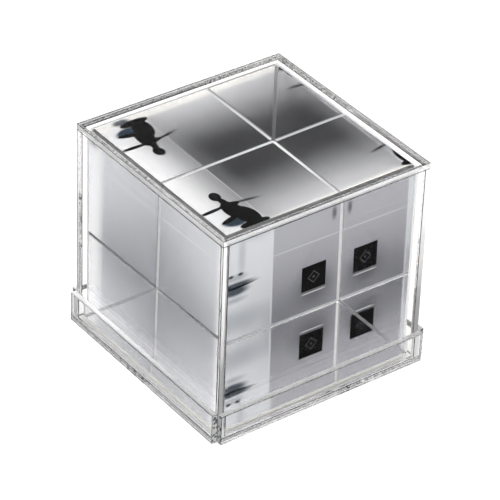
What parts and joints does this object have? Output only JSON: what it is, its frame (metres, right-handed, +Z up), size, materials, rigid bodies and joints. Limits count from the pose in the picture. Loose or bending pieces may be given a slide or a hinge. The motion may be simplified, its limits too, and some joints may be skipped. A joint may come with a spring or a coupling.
{
  "type": "mirror block cube in a display case",
  "caption": "Solid clear glass block that mirrors the picture cards behind and under it, standing on a shallow tray under a clear lift-off cover.",
  "frame": {"origin": "centre of the tray's underside, on the table", "axes": "+Z up; -Y is the front and -X the left side, and the two faces with picture cards behind them are the back (+Y) and the right (+X)"},
  "size_m": [0.0808, 0.0808, 0.0724],
  "materials": {
    "tray_acrylic": "clear cast acrylic, sawn edges",
    "cover_acrylic": "clear cast acrylic, polished faces",
    "block_glass": "clear optical glass, polished, bevelled edges",
    "picture_bottom_card": "satin photo print, black and grey",
    "picture_back_card": "satin photo print, light grey",
    "picture_right_card": "satin photo print, grey shading"
  },
  "bodies": {
    "tray": {"tray_floor": "tray_acrylic", "tray_rim_front": "tray_acrylic", "tray_rim_back": "tray_acrylic", "tray_rim_left": "tray_acrylic", "tray_rim_right": "tray_acrylic"},
    "block": {"glass_block": "block_glass", "picture_bottom": "picture_bottom_card", "picture_back": "picture_back_card", "picture_right": "picture_right_card"},
    "cover": {"cover_top": "cover_acrylic", "cover_wall_front": "cover_acrylic", "cover_wall_back": "cover_acrylic", "cover_wall_left": "cover_acrylic", "cover_wall_right": "cover_acrylic"}
  },
  "joints": [
    {"name": "cover_lift", "type": "slide", "parent": "tray", "child": "cover", "axis": [0, 0, 1], "range_m": [0, 0.11]},
    {"name": "block_lift", "type": "slide", "parent": "tray", "child": "block", "axis": [0, 0, 1], "range_m": [0, 0.03]}
  ],
  "couplings": [
    {"joint": "block_lift", "follows": "cover_lift", "ratio": 0.27}
  ]
}
